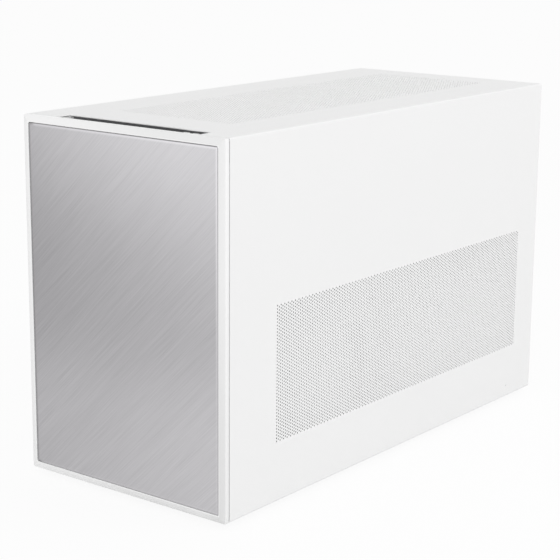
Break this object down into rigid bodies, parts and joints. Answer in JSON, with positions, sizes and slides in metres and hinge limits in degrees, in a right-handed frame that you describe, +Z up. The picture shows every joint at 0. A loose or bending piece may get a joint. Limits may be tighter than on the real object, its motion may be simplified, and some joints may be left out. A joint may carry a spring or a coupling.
{
  "type": "desktop computer tower",
  "caption": "Compact white tower computer with a one-piece sliding cover, punched side and top fields and a brushed metal front plate, with the computer inside.",
  "frame": {"origin": "On the ground under the middle of the overall length and width, between the four feet.", "axes": "+Z up, front faces -Y, +X to the right of someone who looks at the front. The longest side runs along Y."},
  "size_m": [0.205, 0.4624, 0.296],
  "materials": {
    "white_powder_coat": "fine powder coat, satin",
    "white_bezel": "satin moulded plastic",
    "brushed_aluminium": "fine diagonal brushing, anodised",
    "inner_steel": "thin powder coat",
    "plated_steel": "zinc plated sheet",
    "black_plastic": "moulded, fine grain",
    "dark_plastic": "moulded, smooth",
    "rubber": "matt",
    "filter_cloth": "fine nylon mesh",
    "light_plastic": "satin",
    "circuit_board": "dark solder mask",
    "heat_sink": "extruded, clear anodised",
    "cooler_fins": "stamped sheet",
    "nickel": "plated",
    "fan_frame_plastic": "moulded",
    "fan_blade_plastic": "moulded",
    "supply_paint": "black, textured",
    "cord_sheath": "smooth sheath",
    "sleeved_cable": "woven sleeve",
    "drive_metal": "cast, bare"
  },
  "bodies": {
    "chassis": {"chassis_floor": "inner_steel", "chassis_front_wall": "inner_steel", "chassis_rear_panel": "inner_steel", "motherboard_tray": "inner_steel", "chassis_top_frame": "inner_steel", "feet": "rubber", "io_channel": "black_plastic", "io_ports": "nickel", "io_board": "circuit_board", "rear_fan_frame": "fan_frame_plastic", "motherboard": "circuit_board", "standoffs": "nickel", "processor_socket": "plated_steel", "memory_slots": "black_plastic", "memory_modules": "heat_sink", "card_slots": "black_plastic", "board_parts": "dark_plastic", "board_sinks": "heat_sink", "rear_ports": "nickel", "io_shield": "plated_steel", "cooler_sink": "cooler_fins", "cooler_fan_frame": "fan_frame_plastic", "graphics_board": "circuit_board", "graphics_backplate": "heat_sink", "graphics_sink": "heat_sink", "graphics_shroud": "dark_plastic", "graphics_bracket": "plated_steel", "graphics_outputs": "nickel", "slot_covers": "inner_steel", "supply_case": "supply_paint", "supply_board": "dark_plastic", "supply_fan_guard": "supply_paint", "supply_inlet": "black_plastic", "supply_rocker_frame": "black_plastic", "supply_bracket": "inner_steel", "rear_inlet": "black_plastic", "lead_plug": "cord_sheath", "mains_lead": "cord_sheath", "main_plug": "black_plastic", "main_cable": "sleeved_cable", "disk_drive": "drive_metal", "disk_bracket": "inner_steel", "solid_state_drive": "dark_plastic"},
    "cover": {"cover_shell": "white_powder_coat", "cover_top_field": "white_powder_coat", "cover_left_field": "white_powder_coat", "cover_right_field": "white_powder_coat", "cover_thumbscrews": "nickel"},
    "bezel": {"front_bezel": "white_bezel", "bezel_carrier": "white_bezel", "front_plate": "brushed_aluminium"},
    "dust_filter": {"dust_filter_frame": "black_plastic", "dust_filter_mesh": "filter_cloth"},
    "button": {"power_button": "light_plastic"},
    "rear_rotor": {"rear_fan_rotor": "fan_blade_plastic"},
    "cooler_rotor": {"cooler_fan_rotor": "fan_blade_plastic"},
    "card_rotor_rear": {"graphics_rotor_rear": "fan_blade_plastic"},
    "card_rotor_front": {"graphics_rotor_front": "fan_blade_plastic"},
    "supply_fan": {"supply_rotor": "fan_blade_plastic"},
    "rocker": {"supply_rocker": "dark_plastic"}
  },
  "joints": [
    {"name": "cover_slide", "type": "slide", "parent": "chassis", "child": "cover", "axis": [0, 1, 0], "range_m": [0, 0.46]},
    {"name": "bezel_pull", "type": "slide", "parent": "chassis", "child": "bezel", "axis": [0, -1, 0], "range_m": [0, 0.06]},
    {"name": "filter_slide", "type": "slide", "parent": "chassis", "child": "dust_filter", "axis": [0, 1, 0], "range_m": [0, 0.32]},
    {"name": "power_press", "type": "slide", "parent": "chassis", "child": "button", "axis": [0, 0, -1], "range_m": [0, 0.0015], "stiffness_N_per_m": 400},
    {"name": "rear_fan_spin", "type": "hinge", "parent": "chassis", "child": "rear_rotor", "pos_m": [-0.02875, 0.2104, 0.189], "axis": [0, 1, 0], "continuous": true},
    {"name": "cooler_fan_spin", "type": "hinge", "parent": "chassis", "child": "cooler_rotor", "pos_m": [-0.0211, 0.0798, 0.189], "axis": [0, 1, 0], "continuous": true},
    {"name": "card_fan_rear_spin", "type": "hinge", "parent": "chassis", "child": "card_rotor_rear", "pos_m": [0.01265, 0.1644, 0.084], "axis": [0, 0, 1], "continuous": true},
    {"name": "card_fan_front_spin", "type": "hinge", "parent": "chassis", "child": "card_rotor_front", "pos_m": [0.01265, 0.0244, 0.084], "axis": [0, 0, 1], "continuous": true},
    {"name": "supply_fan_spin", "type": "hinge", "parent": "chassis", "child": "supply_fan", "pos_m": [-0.088, -0.113, 0.123], "axis": [1, 0, 0], "continuous": true},
    {"name": "rocker_tip", "type": "hinge", "parent": "chassis", "child": "rocker", "pos_m": [-0.066, -0.1805, 0.157], "axis": [0, 0, 1], "range_deg": [-18, 0]}
  ]
}
